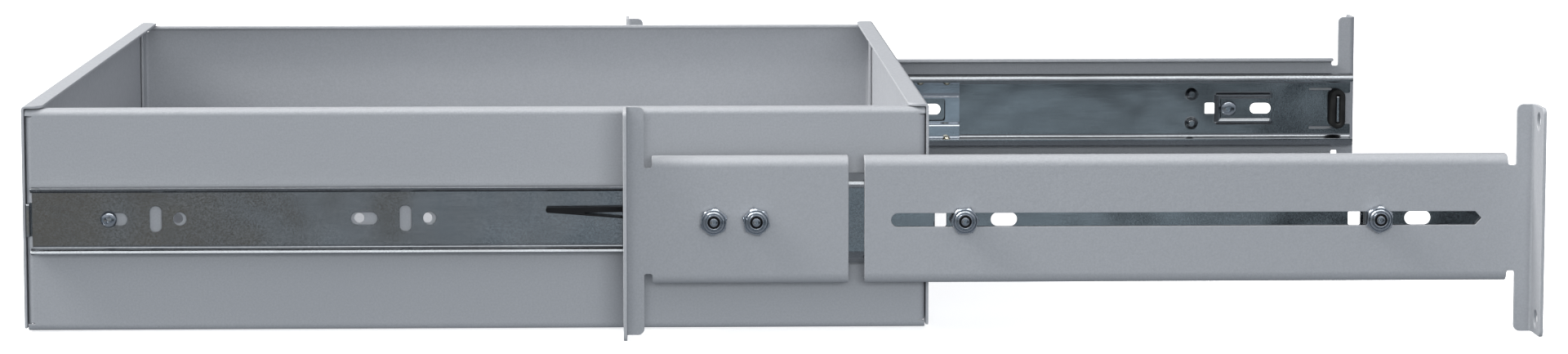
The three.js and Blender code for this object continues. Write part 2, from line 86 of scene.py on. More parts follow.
softbox("left_softbox", (-2.5, -0.1, 2.75), (1.9, 1.9), 205, (1, 0.99, 0.975))
softbox("ceiling_panel", (0.1, -0.9, 1.9), (2.6, 1.5), 24, (0.97, 0.99, 1), lit=False)
softbox("wall_fill", (0.1, -2.6, 0.5), (1.2, 0.5), 23, (0.95, 0.98, 1), mirrored=False)
softbox("low_card", (0.02, -1.0, 0.04), (0.6, 0.07), 0.55, (0.94, 0.97, 1), mirrored=False)


def add(tree, kind, inputs=(), **settings):
    """A node with its settings; inputs are (socket, value or another node's output)."""
    node = tree.nodes.new(kind)
    for key, value in settings.items():
        setattr(node, key, value)
    for socket, value in dict(inputs).items():
        if isinstance(value, bpy.types.NodeSocket):
            tree.links.new(value, node.inputs[socket])
        else:
            node.inputs[socket].default_value = value
    return node


def multiply(tree, first, second):
    return add(tree, "ShaderNodeMath", {0: first, 1: second}, operation="MULTIPLY").outputs[0]


def between(tree, factor, low, high, start=0.3, end=0.7):
    """A value that runs from low to high as the factor runs from start to end."""
    limits = {"Value": factor, "From Min": start, "From Max": end, "To Min": low, "To Max": high}
    return add(tree, "ShaderNodeMapRange", limits).outputs[0]


def colour_stops(tree, value, low, high, stops):
    """A colour for each value, eased between stops of (value, red, green, blue)."""
    spread = between(tree, value, 0, 1, low, high)
    node = add(tree, "ShaderNodeValToRGB", {0: spread})
    node.color_ramp.interpolation = "EASE"
    marks = node.color_ramp.elements
    for i, (at, *colour) in enumerate(stops):
        place = (at - low) / (high - low)
        mark = marks.new(place) if 0 < i < len(stops) - 1 else marks[0 if i == 0 else len(marks) - 1]
        mark.position = place
        mark.color = (*colour, 1)
    return node.outputs[0]


def make_room():
    """The room by height, and in a low band in front, which flat plated steel mirrors, by direction."""
    world = bpy.data.worlds.new("room")
    world.use_nodes = True
    tree = world.node_tree
    split = add(tree, "ShaderNodeSeparateXYZ", {0: add(tree, "ShaderNodeTexCoord").outputs["Generated"]})
    right, back, up = split.outputs
    by_height = colour_stops(tree, up, -1, 1, [
        (-1, 0.25, 0.27, 0.30), (-0.4, 0.23, 0.25, 0.28), (-0.2, 0.21, 0.24, 0.27), (0.05, 0.21, 0.24, 0.27),
        (0.45, 0.49, 0.51, 0.55), (1, 0.30, 0.30, 0.31)])
    in_front = colour_stops(tree, right, -0.3, 0.3, [
        (-0.3, 0.18, 0.17, 0.15), (-0.12, 0.36, 0.34, 0.30), (-0.075, 0.04, 0.045, 0.05),
        (-0.042, 1.1, 1.2, 1.3), (-0.015, 0.10, 0.13, 0.16), (0.05, 0.34, 0.43, 0.49),
        (0.08, 0.46, 0.58, 0.66), (0.106, 1.0, 1.2, 1.32), (0.135, 0.01, 0.015, 0.02),
        (0.3, 0.01, 0.01, 0.01)])
    band = multiply(tree, between(tree, up, 0, 1, -0.3, -0.18), between(tree, up, 0, 1, 0.06, -0.04))
    mask = multiply(tree, band, between(tree, back, 0, 1, -0.6, -0.8))
    room = add(tree, "ShaderNodeMix", {0: mask, 6: by_height, 7: in_front}, data_type="RGBA")
    tree.links.new(room.outputs[2], tree.nodes["Background"].inputs["Color"])
    return world


bpy.context.scene.world = make_room()

floor_mesh = bpy.data.meshes.new("floor")
floor_mesh.from_pydata([(-9, -9, 0), (9, -9, 0), (9, 9, 0), (-9, 9, 0)], [], [(0, 1, 2, 3)])
floor = in_scene("floor", floor_mesh)
floor_paint = bpy.data.materials.new("floor_paint")
floor_paint.use_nodes = True
floor_shader = floor_paint.node_tree.nodes["Principled BSDF"]
floor_shader.inputs["Base Color"].default_value = (0.9, 0.9, 0.9, 1)
floor_shader.inputs["Roughness"].default_value = 0.9
floor_shader.inputs["Emission Color"].default_value = (1, 1, 1, 1)
floor_shader.inputs["Emission Strength"].default_value = 0.7
floor_mesh.materials.append(floor_paint)
floor.visible_glossy = False
floor.visible_diffuse = False

# ---- Drawer tray ------------------------------------------------------------------------------------------
# The tray is one blank of 1.1 mm steel, cut and pierced flat, then folded up: bottom, two sides with a
# flange along their tops, and a narrow return at each end of a side to take the panels. It is powder
# coated grey after folding, with the fine orange peel of a thin coat.
EAR_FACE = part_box("front_bracket_right")[0].x / MM
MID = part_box("front_bracket_right")[1].z / MM / 2
SHEET = 1.1
COAT_RIM = 0.28
HOLE_GROUPS = (-195.9, -99.9, 60.1)


def new_material(name):
    material = bpy.data.materials.new(name)
    material.use_nodes = True
    tree = material.node_tree
    return material, tree, tree.nodes["Principled BSDF"]


def new_group(name, inputs, outputs):
    tree = bpy.data.node_groups.new(name, "ShaderNodeTree")
    for label, value in inputs.items():
        tree.interface.new_socket(label, in_out="INPUT", socket_type="NodeSocketFloat").default_value = value
    for label in outputs:
        tree.interface.new_socket(label, in_out="OUTPUT", socket_type="NodeSocketFloat")
    return tree, tree.nodes.new("NodeGroupInput").outputs, tree.nodes.new("NodeGroupOutput").inputs


def make_grain_group():
    """Noise whose grains are Size mm across and Length times as long along the rack, from 0 to 1."""
    tree, given, result = new_group("grain", {"Size": 1, "Length": 1, "Detail": 2}, ["Value"])
    where = add(tree, "ShaderNodeTexCoord").outputs["Object"]
    across = add(tree, "ShaderNodeMath", {0: 1000, 1: given["Size"]}, operation="DIVIDE").outputs[0]
    along = add(tree, "ShaderNodeMath", {0: across, 1: given["Length"]}, operation="DIVIDE").outputs[0]
    scale = add(tree, "ShaderNodeCombineXYZ", {"X": along, "Y": across, "Z": across}).outputs[0]
    spread = add(tree, "ShaderNodeMapping", {"Vector": where, "Scale": scale}).outputs[0]
    noise = add(tree, "ShaderNodeTexNoise", {"Vector": spread, "Scale": 1, "Detail": given["Detail"]})
    tree.links.new(noise.outputs[0], result["Value"])
    return tree


def make_rim_group():
    """How much the rounded rim of a sheet shows, from the mesh's own mark, broken up by grain."""
    tree, given, result = new_group("rim", {"Amount": 1}, ["Value"])
    mark = add(tree, "ShaderNodeAttribute", attribute_name="rim").outputs["Fac"]
    broken = add(tree, "ShaderNodeGroup", {"Size": 1.5}, node_tree=grain_group).outputs[0]
    lifted = between(tree, broken, 0.55, 1)
    tree.links.new(multiply(tree, multiply(tree, mark, lifted), given["Amount"]), result["Value"])
    return tree


grain_group = make_grain_group()
rim_group = make_rim_group()


def grain(tree, size, length=1, detail=2):
    given = {"Size": size, "Length": length, "Detail": detail}
    return add(tree, "ShaderNodeGroup", given, node_tree=grain_group).outputs["Value"]


def rim_mask(tree, amount):
    return add(tree, "ShaderNodeGroup", {"Amount": amount}, node_tree=rim_group).outputs["Value"]


def blend_colours(tree, factor, first, second):
    first, second = [colour if isinstance(colour, bpy.types.NodeSocket) else (*colour, 1)
                     for colour in (first, second)]
    return add(tree, "ShaderNodeMix", {0: factor, 6: first, 7: second}, data_type="RGBA").outputs[2]


def bumps(tree, height, strength, depth_mm, over=None):
    """A bump of that depth from a height, over another bump where there is one."""
    values = {"Strength": strength, "Distance": depth_mm * MM, "Height": height}
    return add(tree, "ShaderNodeBump", {**values, "Normal": over} if over else values).outputs[0]


def wire_up(tree, shader, colour, roughness, bump=None, metallic=0):
    tree.links.new(colour, shader.inputs["Base Color"])
    tree.links.new(roughness, shader.inputs["Roughness"])
    shader.inputs["Metallic"].default_value = metallic
    if bump:
        tree.links.new(bump, shader.inputs["Normal"])


def make_powder_coat():
    material, tree, shader = new_material("powder_coat")
    fine, coarse, broad = grain(tree, 0.7, 1, 2), grain(tree, 2, 1, 1), grain(tree, 70, 1, 1)
    colour = blend_colours(tree, between(tree, fine, 0, 1), (0.380, 0.391, 0.412), (0.430, 0.442, 0.464))
    colour = blend_colours(tree, between(tree, broad, 0, 0.22), colour, (0.365, 0.377, 0.398))
    colour = blend_colours(tree, rim_mask(tree, 0.38), colour, (0.60, 0.605, 0.615))
    peel = add(tree, "ShaderNodeMath", {0: fine, 1: 0.45, 2: coarse}, operation="MULTIPLY_ADD").outputs[0]
    wire_up(tree, shader, colour, between(tree, coarse, 0.42, 0.55), bumps(tree, peel, 0.5, 0.18))
    shader.inputs["Specular IOR Level"].default_value = 0.45
    return material


powder_coat = make_powder_coat()


def rounded(corners, radius=0.6, step=15):
    """An outline of (u, v) corners, or (u, v, radius) ones, with each corner rounded."""
    outline = []
    for i, corner in enumerate(corners):
        here = Vector(corner[:2])
        bend = corner[2] if len(corner) > 2 else radius
        before = (Vector(corners[i - 1][:2]) - here).normalized()
        after = (Vector(corners[(i + 1) % len(corners)][:2]) - here).normalized()
        half = before.angle(after) / 2
        middle = here + (before + after).normalized() * bend / math.sin(half)
        start = here + before * bend / math.tan(half) - middle
        end = here + after * bend / math.tan(half) - middle
        turn = math.atan2(start.x * end.y - start.y * end.x, start.dot(end))
        count = max(1, math.ceil(abs(math.degrees(turn)) / step))
        for k in range(count + 1):
            outline.append(middle + Matrix.Rotation(turn * k / count, 2) @ start)
    return outline


def box_outline(u0, u1, v0, v1, radius):
    return rounded([(u0, v0), (u1, v0), (u1, v1), (u0, v1)], radius)


def round_hole(u, v, radius, sides=32):
    turns = [2 * math.pi * k / sides for k in range(sides)]
    return [Vector((u + radius * math.cos(a), v + radius * math.sin(a))) for a in turns]


def pen(start, heading, *moves):
    """A folded section as a pen draws it: a number is a straight, (radius, degrees) a bend, + to the left.
    Returns where(s), the point and direction at s along it, and the s of each fold line."""
    legs, lines = [], []
    here, facing, s = Vector(start), math.radians(heading), 0
    for move in moves:
        radius, turn = move if isinstance(move, tuple) else (0, 0)
        length = abs(radius * math.radians(turn)) if radius else move
        legs.append((s, here.copy(), facing, math.copysign(radius, turn) if radius else 0))
        if radius:
            count = max(2, math.ceil(abs(turn) / 9))
            lines += [s + length * k / count for k in range(count + 1)]
        here, facing = along_leg(legs[-1], s + length)
        s += length

    def where(q):
        leg = [leg for leg in legs if leg[0] <= q + 1e-9] or legs[:1]
        return along_leg(leg[-1], q)

    return where, lines, s


def along_leg(leg, q):
    s, here, facing, radius = leg
    if not radius:
        return here + Vector((math.cos(facing), math.sin(facing))) * (q - s), facing
    turned_to = facing + (q - s) / radius
    centre = here + Vector((-math.sin(facing), math.cos(facing))) * radius
    return centre + Vector((math.sin(turned_to), -math.cos(turned_to))) * radius, turned_to


def across(where, q, w):
    """The point w to the left of a section at q, with the section's direction and its left there."""
    point, facing = where(q)
    along = Vector((math.cos(facing), math.sin(facing)))
    left = Vector((-along.y, along.x))
    return point + left * w, along, left


def blank(outline, holes, thickness, rim):
    """A flat blank with rounded rims, as a closed mesh in (u, s, w), w across the sheet. Each vertex keeps
    its flat normal and how far it is out on the rim."""
    bm = bmesh.new()
    normal_of = bm.verts.layers.float_vector.new("flat_normal")
    rim_of = bm.verts.layers.float.new("rim")
    half = thickness / 2
    bevel = [(1, 0, 0, 1), (0.293, 0.293, 0.707, 0.707), (0, 1, 1, 0)]
    above = [(rim * inset, half - rim * drop, out, up) for inset, drop, out, up in bevel]
    below = [(inset, -w, out, -up) for inset, w, out, up in reversed(above)]

    def rings(loop, outer, steps):
        area = sum(a.x * b.y - a.y * b.x for a, b in zip(loop, loop[1:] + loop[:1]))
        loop = loop if (area > 0) == outer else loop[::-1]
        made = [[] for _ in steps]
        for i, here in enumerate(loop):
            into = (here - loop[i - 1]).normalized()
            along = (into + (loop[(i + 1) % len(loop)] - here).normalized()).normalized()
            outward = Vector((along.y, -along.x))
            for ring, (inset, w, out, up) in zip(made, steps):
                spot = here - outward * inset / max(into.dot(along), 0.5)
                vert = bm.verts.new((spot.x, spot.y, w))
                vert[normal_of] = Vector((outward.x * out, outward.y * out, up)).normalized()
                vert[rim_of] = out
                ring.append(vert)
        for upper, lower in zip(made, made[1:]):
            for i in range(len(loop)):
                bm.faces.new((upper[i - 1], upper[i], lower[i], lower[i - 1]))
        return made[0], made[-1]

    def fill(loops, facing):
        edges = [bm.edges.get((ring[i - 1], ring[i])) for ring in loops for i in range(len(ring))]
        bmesh.ops.triangle_fill(bm, use_beauty=True, edges=edges, normal=(0, 0, facing))

    through = [rings(loop, i == 0, above + below) for i, loop in enumerate([outline, *holes])]
    fill([top for top, _ in through], 1)
    fill([bottom for _, bottom in through], -1)
    return bm


def cut_lines(bm, lines, axis, within=None):
    """Adds an edge to the blank along each fold line; within keeps the cuts to a patch (u0, u1, s0, s1)."""
    normal = Vector((1, 0, 0)) if axis == 0 else Vector((0, 1, 0))
    for value in lines:
        faces = bm.faces[:]
        if within:
            u0, u1, s0, s1 = within
            middles = [(face, face.calc_center_median()) for face in faces]
            faces = [face for face, m in middles if u0 < m.x < u1 and s0 < m.y < s1]
        edges = {edge for face in faces for edge in face.edges}
        verts = {vert for face in faces for vert in face.verts}
        bmesh.ops.bisect_plane(bm, geom=[*verts, *edges, *faces], dist=1e-4,
                               plane_co=normal * value, plane_no=normal)


def both_halves(values):
    """The same distances on both sides of a blank's middle line."""
    return [sign * value for value in values for sign in (-1, 1)]


def as_mesh(name, bm):
    mesh = bpy.data.meshes.new(name)
    bm.to_mesh(mesh)
    bm.free()
    return mesh


def set_down(name, bm, place, material):
    """Folds a blank into its place: place(u, s, w) gives the point and the sheet's three directions."""
    normal_of = bm.verts.layers.float_vector["flat_normal"]
    normals = []
    for vert in bm.verts:
        flat = vert[normal_of].copy()
        point, along_u, along_s, along_w = place(*vert.co)
        vert.co = to_frame(point)
        normals.append((along_u * flat.x + along_s * flat.y + along_w * flat.z).normalized())
    bm.verts.layers.float_vector.remove(normal_of)
    bm.normal_update()
    bm.verts.index_update()
    for face in bm.faces:
        if sum(face.normal.dot(normals[vert.index]) for vert in face.verts) < 0:
            face.normal_flip()
    mesh = as_mesh(name, bm)
    mesh.shade_smooth()
    mesh.normals_split_custom_set_from_vertices(normals)
    mesh.materials.append(material)
    return in_scene(name, mesh)


def to_frame(point):
    return Vector((point[0] + EAR_FACE, point[1], point[2])) * MM


def belongs(piece, body, node):
    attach(piece, body)
    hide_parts(node)


def make_tray():
    low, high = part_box("drawer_tray")
    half = high.y / MM - SHEET / 2
    ends = (low.x / MM - EAR_FACE, high.x / MM - EAR_FACE)
    top = high.z / MM - SHEET / 2
    bottom = low.z / MM + SHEET / 2
    bend, flange, turn_in, slit, clearance = 2, 6, 9.4, 0.25, 0.4
    quarter = math.pi / 2 * bend
    flat = half - bend
    rise = top - bottom - 2 * bend
    section, lines, length = pen((0, bottom), 0, flat, (bend, 90), rise, (bend, 90), flange - 0.45)
    shells = (ends[0] + bend + SHEET / 2, ends[1] - bend - SHEET / 2)
    returns = [pen((shell, half), heading, (bend, turn), turn_in)
               for shell, heading, turn in zip(shells, (180, 0), (90, -90))]
    lower, upper = flat + quarter + clearance, flat + quarter + rise - clearance

    def corner(i, sign):
        """A corner of the blank, where a slit frees the side's return from the bottom and the flange."""
        reach = shells[i] + (returns[i][2] if i else -returns[i][2])
        steps = [(ends[i], lower - slit, 0.3), (shells[i], lower - slit, 0.1), (shells[i], lower, 0.1),
                 (reach, lower), (reach, upper), (shells[i], upper, 0.1), (shells[i], upper + slit, 0.1),
                 (ends[i], upper + slit, 0.3), (ends[i], length, 1.5)]
        return [(u, s * sign, *radius) for u, s, *radius in steps]

    outline = rounded(corner(0, 1) + corner(1, 1)[::-1] + corner(1, -1) + corner(0, -1)[::-1])
    screw_height = flat + quarter + MID - bottom - bend
    holes = [round_hole(x + shift, height, 1.9) for x in HOLE_GROUPS for shift in (-2, 24.2)
             for height in both_halves([screw_height])]
    bm = blank(outline, holes, SHEET, COAT_RIM)
    cut_lines(bm, both_halves(lines), 1)
    cut_lines(bm, [shells[0] - q for q in returns[0][1]] + [shells[1] + q for q in returns[1][1]], 0)

    def place(u, s, w):
        sign = 1 if s >= 0 else -1
        in_side = flat + quarter < abs(s) < flat + quarter + rise
        if in_side and not shells[0] < u < shells[1]:
            i = int(u > 0)
            outward = 1 if i else -1
            point, along, left = across(returns[i][0], abs(u - shells[i]), w * -outward)
            z = bottom + bend + abs(s) - flat - quarter
            return ((point.x, -sign * point.y, z), Vector((along.x, -sign * along.y, 0)) * outward,
                    Vector((0, 0, sign)), Vector((left.x, -sign * left.y, 0)) * -outward)
        point, along, left = across(section, abs(s), w)
        return ((u, -sign * point.x, point.y), Vector((1, 0, 0)), Vector((0, -along.x, sign * along.y)),
                Vector((0, -sign * left.x, left.y)))

    return set_down("tray_sheet", bm, place, powder_coat)


belongs(make_tray(), "drawer", "drawer_tray")

# ---- Drawer panels ----------------------------------------------------------------------------------------
# The front and rear panels are the same pressing, a flat sheet with its top edge turned over the tray's
# flanges. They are spot-welded to the tray's returns and coated with it.


def make_panel(name, node, inward):
    low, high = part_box(node)
    outer = (low.x if inward > 0 else high.x) / MM - EAR_FACE
    half, foot, top = high.y / MM, low.z / MM, high.z / MM - SHEET / 2
    bend, flange = SHEET, (high.x - low.x) / MM - 1.5 * SHEET
    section, lines, length = pen((SHEET / 2, foot), 90, top - foot - bend, (bend, -90), flange)
    outline = rounded([(-half, 0), (half, 0), (half, length, 5), (-half, length, 5)], step=9)
    bm = blank(outline, [], SHEET, COAT_RIM)
    cut_lines(bm, lines, 1)

    def place(u, s, w):
        point, along, left = across(section, s, w)
        return ((outer + inward * point.x, u, point.y), Vector((0, 1, 0)),
                Vector((inward * along.x, 0, along.y)), Vector((inward * left.x, 0, left.y)))

    belongs(set_down(name, bm, place, powder_coat), "drawer", node)


make_panel("front_panel_sheet", "front_panel", 1)
make_panel("rear_panel_sheet", "rear_panel", -1)

# ---- Front and rear brackets ------------------------------------------------------------------------------
# Each bracket is 1.4 mm steel: a body with a lip folded along its top and bottom, a full-height strip
# notched off from it, and an ear folded outwards with two 7 mm holes for the rack's screws. The front one
# has two bolt holes, and the rear one a long slot that sets the depth. Coated like the drawer.
PLATE = 1.4
RACK_HOLES_APART, RACK_HOLE_RISE = 465.1, 38.1
SIDES = ("right", "left")


def both_sides(piece, bodies, node):
    """Copies a right-hand piece to the left, turned over about the slides' mid-height, and gives each side's
    piece its name, body and CAD node."""
    twin = in_scene(piece.name + "_left", piece.data.copy())
    twin.data.name = twin.name
    twin.data.transform(Matrix.Translation((0, 0, 2 * MID * MM)) @ Matrix.Rotation(math.pi, 4, "X"))
    piece.name += "_right"
    for side, made in zip(SIDES, (piece, twin)):
        belongs(made, bodies.format(side), node.format(side))


def both_edges(upper):
    """A rounded outline from the corners of its upper half, given from one end to the other."""
    return rounded(upper + [(u, -s, *radius) for u, s, *radius in reversed(upper)])


def make_bracket(name, node, from_ear, far_end, holes):
    """from_ear turns a distance from the ear's outer face into x; far_end and holes are such distances."""
    low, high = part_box(node + "_right")
    ear_tip, inner = -low.y / MM, -high.y / MM
    lip, body_height = 8, 49
    body_line = inner + lip - PLATE / 2
    ear_bend, lip_bend, strip, notch = 1.7, 3.3, 8, 3
    half = (body_height - PLATE) / 2
    section, lips, reach = pen((0, 0), 90, half - lip_bend, (lip_bend, -90), lip - PLATE / 2 - lip_bend)
    fold = PLATE / 2 + ear_bend
    ear, ear_lines, ear_reach = pen((fold, body_line), 180, (ear_bend, -90), ear_tip - body_line - ear_bend)
    neck = half - lip_bend
    above = [(fold - ear_reach, MID, 2.5), (strip, MID, 2.5), (strip, neck, 0.8), (strip + notch, neck, 0.8),
             (strip + notch, reach, 1), (far_end, reach, 1)]
    ear_hole = fold - ear_reach + ear_tip - RACK_HOLES_APART / 2
    rack_holes = [round_hole(ear_hole, rise, 3.5) for rise in both_halves([RACK_HOLE_RISE])]
    bm = blank(both_edges(above), rack_holes + holes, PLATE, COAT_RIM)
    cut_lines(bm, both_halves(lips), 1, (strip + notch - 0.1, far_end + 1, -MID, MID))
    cut_lines(bm, [fold - q for q in ear_lines], 0)
    inward = from_ear(1) - from_ear(0)

    def place(u, s, w):
        if u < fold:
            point, along, left = across(ear, fold - u, -w)
            return ((from_ear(point.x), -point.y, MID + s), Vector((-inward * along.x, along.y, 0)),
                    Vector((0, 0, 1)), Vector((-inward * left.x, left.y, 0)))
        if u < strip + notch - 0.05:
            return ((from_ear(u), -body_line - w, MID + s), Vector((inward, 0, 0)), Vector((0, 0, 1)),
                    Vector((0, -1, 0)))
        sign = 1 if s >= 0 else -1
        point, along, left = across(section, abs(s), w)
        return ((from_ear(u), point.x - body_line, MID + sign * point.y), Vector((inward, 0, 0)),
                Vector((0, sign * along.x, along.y)), Vector((0, left.x, sign * left.y)))

    both_sides(set_down(name, bm, place, powder_coat), "rails" if node == "front_bracket" else node + "_{}",
               node + "_{}")


BOLT_PLACES = [34.6, 50.9, 131, 291]
BOLT_HOLE = 2.65
REAR_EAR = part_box("rear_bracket_right")[1].x / MM - EAR_FACE
slot_start, slot_end, slot_round = REAR_EAR - 330.9, REAR_EAR - 102.9, BOLT_HOLE - 0.01
slot_outline = rounded([(slot_start, 0, 0.5), (slot_start + 2.4, -BOLT_HOLE, 0.6),
                        (slot_end, -BOLT_HOLE, slot_round), (slot_end, BOLT_HOLE, slot_round),
                        (slot_start + 2.4, BOLT_HOLE, 0.6)])
make_bracket("front_bracket_plate", "front_bracket", lambda u: u, 86.5,
             [round_hole(x, 0, BOLT_HOLE) for x in BOLT_PLACES[:2]])
make_bracket("rear_bracket_plate", "rear_bracket", lambda u: REAR_EAR - u, REAR_EAR - 92.6, [slot_outline])

# ---- Outer members ----------------------------------------------------------------------------------------
# Each slide's outer member is 1.2 mm steel strip, roll-formed into a channel with a ball groove along each
# edge and zinc plated. Its web is pierced in three places, and pressed up in a C-shaped rib and in two
# stops that the cage meets. A tongue bent up at the rear end carries the rubber bumper.
STRIP = 1.2
PLATED_RIM = 0.14
SLIDE_BACK = -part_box("inner_member_right")[1].y / MM
STATIONS = (BOLT_PLACES[0], *BOLT_PLACES[2:])
TAB_RISE = 6.5


def make_zinc_plate(name, dark, light):
    """Bluish plating over rolled steel: long faint rolling lines, mottled spangle and cloudy patches, on a
    strip that is never quite flat."""
    material, tree, shader = new_material(name)
    lines, spangle, cloud = grain(tree, 0.35, 30, 2), grain(tree, 0.5, 1.3, 2), grain(tree, 18, 2, 3)
    colour = blend_colours(tree, between(tree, spangle, 0, 1), dark, light)
    colour = blend_colours(tree, between(tree, cloud, 0, 0.8), colour, dark)
    colour = blend_colours(tree, rim_mask(tree, 0.5), colour, (0.60, 0.62, 0.64))
    mixed = add(tree, "ShaderNodeMath", {0: lines, 1: 0.6, 2: spangle}, operation="MULTIPLY_ADD").outputs[0]
    wavy = bumps(tree, grain(tree, 40, 1.5, 2), 1, 1.1)
    bump = bumps(tree, mixed, 0.3, 0.04, wavy)
    wire_up(tree, shader, colour, between(tree, mixed, 0.1, 0.24, 0.4, 1.2), bump, 1)
    return material


zinc_plate = make_zinc_plate("zinc_plate", (0.27, 0.28, 0.29), (0.40, 0.42, 0.44))


def in_slide(section, tabs, relief=lambda u, s: 0):
    """Places a slide member's blank: u along the slide, s up from the web's middle, pressed up by relief.
    Past the web's ends the blank follows tabs, each (u where it starts, -1 or 1 for its end, section)."""
    def place(u, s, w):
        for start, end, tab_section in tabs:
            if (u - start) * end > 0 and abs(s) < TAB_RISE + 0.5:
                point, along, left = across(tab_section, abs(u - start), -w * end)
                return ((point.x, -(SLIDE_BACK + point.y), MID + s), Vector((along.x, -along.y, 0)) * end,
                        Vector((0, 0, 1)), Vector((left.x, -left.y, 0)) * -end)
        sign = 1 if s >= 0 else -1
        point, along, left = across(section, abs(s), w + relief(u, s))
        along, left = Vector((0, -sign * along.x, along.y)), Vector((0, -left.x, sign * left.y))
        near = 0.05
        slope_u = (relief(u + near, s) - relief(u - near, s)) / (2 * near)
        slope_s = (relief(u, s + near) - relief(u, s - near)) / (2 * near)
        return ((u, -(SLIDE_BACK + point.x), MID + sign * point.y), Vector((1, 0, 0)), along,
                left - Vector((slope_u, 0, 0)) - along * slope_s)
    return place


def smooth_step(value):
    value = min(max(value, 0), 1)
    return value * value * (3 - 2 * value)


def make_outer_member():
    web, length, web_half, slant = 11.6, 350, 12, 4.117
    tab_x, tab_bend, tab_reach = 342.6, 1.3, 5.6
    section, lines, reach = pen((web, 0), 90, web_half, (3, 62.34), slant, (2.9, 122.66))
    stop_x, stop_rise, stop_radius, stop_height = 272.9, 7, 3.2, 2.7
    rib_x = (STATIONS[2] - 5.5, STATIONS[2] + 19.4)
    rib_rise, rib_half, rib_height = 6.3, 1.7, 0.8

    def relief(u, s):
        from_stop = math.hypot(u - stop_x, abs(s) - stop_rise)
        stop = stop_height * smooth_step((stop_radius - from_stop) / 2)
        past = max(u - rib_x[1], 0)
        arm = math.hypot(abs(s) - rib_rise, past) if u > rib_x[0] else 99
        back = math.hypot(u - rib_x[0], max(abs(s) - rib_rise, 0))
        rib = rib_height * smooth_step(1 - min(arm, back) / rib_half)
        return max(stop, rib)

    tab_start = tab_x + STRIP / 2 - tab_bend
    tab = pen((tab_start, web), 0, (tab_bend, -90), tab_reach)
    end = tab_start + tab[2]
    notch_rise, notch_start = 7.4, tab_start + 0.8
    upper = [(0, reach, 0.5), (length, reach, 0.5), (length, notch_rise, 0.8), (notch_start, notch_rise, 0.3),
             (notch_start, TAB_RISE, 0.3), (end, TAB_RISE, 1)]
    holes = []
    for x in STATIONS:
        holes.append(box_outline(x - 11.6, x - 6.8, -2.8, 2.8, 0.8))
        holes.append(box_outline(x + 10.3, x + 20.5, -BOLT_HOLE, BOLT_HOLE, slot_round))
        holes.append(round_hole(x, 0, BOLT_HOLE))
    holes += [box_outline(330, 341, rise - 0.55, rise + 0.55, 0.5) for rise in both_halves([9.3])]
    bm = blank(both_edges(upper), holes, STRIP, PLATED_RIM)
    cut_lines(bm, both_halves(lines), 1)
    cut_lines(bm, [tab_start], 0)
    in_tab = TAB_RISE + 0.5
    cut_lines(bm, [-in_tab, in_tab], 1, (tab_start, length, -web_half, web_half))
    cut_lines(bm, [tab_start + q for q in tab[1]], 0, (tab_start, end + 1, -in_tab, in_tab))
    mesh_step = 0.35
    for u0, u1, high in ((stop_x - 3.5, stop_x + 3.5, 10.5), (rib_x[0] - 2, rib_x[1] + 2, 8.2)):
        cut_lines(bm, [u0, u1], 0)
        cut_lines(bm, [-high, high], 1, (u0, u1, 1 - web_half, web_half - 1))
        patch = (u0, u1, -high, high)
        cut_lines(bm, np.arange(u0, u1, mesh_step)[1:], 0, patch)
        cut_lines(bm, np.arange(-high, high, mesh_step)[1:], 1, patch)
    return set_down("slide_channel", bm, in_slide(section, [(tab_start, 1, tab[0])], relief), zinc_plate)


both_sides(make_outer_member(), "rails", "outer_member_{}")

# ---- Inner members ----------------------------------------------------------------------------------------
# The inner member is the slide's moving rail, screwed to the drawer's side: the same plated strip with an
# inward-facing ball groove along each edge, a tab bent out at each end, and its web pierced for screws in
# groups of a slot, a tall slot and a round hole.
LEVER_PIVOT = (16, 0.8)


def make_inner_member():
    low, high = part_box("inner_member_right")
    set_back = 1.6
    ends = (low.x / MM - EAR_FACE + set_back, high.x / MM - EAR_FACE)
    web, bend, web_half, lip = STRIP / 2, 1.2, 10.35, 0.25
    section, lines, reach = pen((web, 0), 90, web_half, (1.738, -125), (2.9, 92), lip)
    tabs, outline_ends, tab_lines = [], [], []
    for sign, face, out in ((-1, ends[0], 5), (1, ends[1], 5.8)):
        start = face - sign * (STRIP / 2 + bend)
        tab = pen((start, web), 90 - 90 * sign, (bend, 90 * sign), out - web - bend)
        tabs.append((start, sign, tab[0]))
        outline_ends.append((start, start + sign * tab[2]))
        tab_lines += [start + sign * q for q in tab[1]]
    (front, front_tip), (rear, rear_tip) = outline_ends
    upper = [(front_tip, TAB_RISE, 1), (front, TAB_RISE, 0.4), (front, reach, 0.5),
             (rear, reach, 0.5), (rear, TAB_RISE, 0.4), (rear_tip, TAB_RISE, 1)]
    holes = [round_hole(*LEVER_PIVOT, 1.8)]
    for x in HOLE_GROUPS:
        holes.append(box_outline(x - 5.1, x + 5.1, -2.4, 2.4, 2.39))
        holes.append(box_outline(x + 13.6, x + 18.2, -4.9, 4.9, 2))
        holes.append(round_hole(x + 25.2, 0, 2.5))
    bm = blank(both_edges(upper), holes, STRIP, PLATED_RIM)
    cut_lines(bm, both_halves(lines), 1)
    cut_lines(bm, tab_lines, 0)
    return set_down("slide_rail", bm, in_slide(section, tabs), zinc_plate)


both_sides(make_inner_member(), "drawer", "inner_member_{}")

# ---- Ball cages -------------------------------------------------------------------------------------------
# A cage is a thin plated channel that keeps two rows of steel balls at their pitch between the members. Its
# middle is an open window with a pressed edge, and each ball sits in a round pocket in the flange.


def make_ball_steel():
    """Polished balls under a thin film of yellowish grease."""
    material, tree, shader = new_material("greased_ball_steel")
    film = grain(tree, 1.6, 1, 2)
    colour = blend_colours(tree, between(tree, film, 0, 1), (0.72, 0.70, 0.62), (0.62, 0.55, 0.36))
    wire_up(tree, shader, colour, between(tree, film, 0.08, 0.24), metallic=1)
    return material


